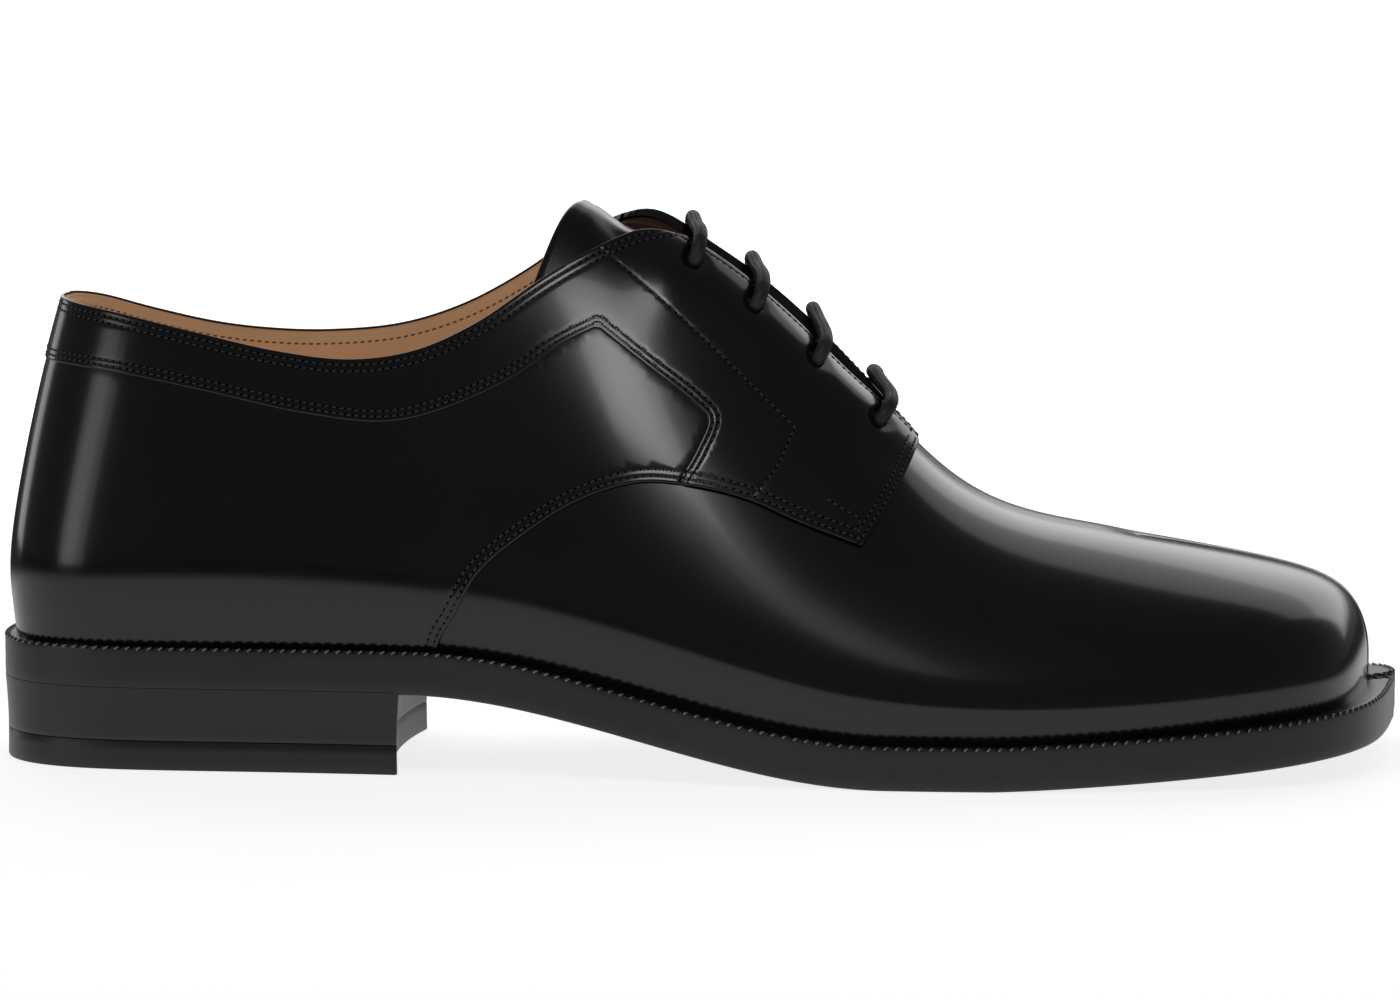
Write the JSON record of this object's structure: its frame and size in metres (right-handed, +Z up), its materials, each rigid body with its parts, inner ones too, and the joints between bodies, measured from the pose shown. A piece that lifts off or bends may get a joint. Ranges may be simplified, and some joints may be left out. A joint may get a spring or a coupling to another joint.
{
  "type": "tabi lace-up shoe",
  "caption": "Right tabi derby lace-up shoe in black leather: split toe, hollow upper with open collar and throat, welted leather sole, stacked heel, straight-laced facings.",
  "frame": {"origin": "middle of the sole's box on the floor", "axes": "+X from heel to toe, +Y to the inner side of the right foot, +Z up"},
  "size_m": [0.2899, 0.104, 0.1155],
  "materials": {
    "box_calf": "polished black box calf",
    "tongue_calf": "black calf, a little softer",
    "lining_leather": "natural tan lining leather",
    "sole_edge": "inked and burnished leather edge",
    "heel_edge": "inked and burnished stacked leather",
    "top_piece_rubber": "black heel rubber",
    "waxed_lace": "black waxed round cotton lace"
  },
  "bodies": {
    "root": {"upper": "box_calf", "tongue": "tongue_calf", "insole": "lining_leather", "welt": "sole_edge", "outsole": "sole_edge", "heel_stack": "heel_edge", "top_piece": "top_piece_rubber", "laces": "waxed_lace"}
  },
  "joints": []
}
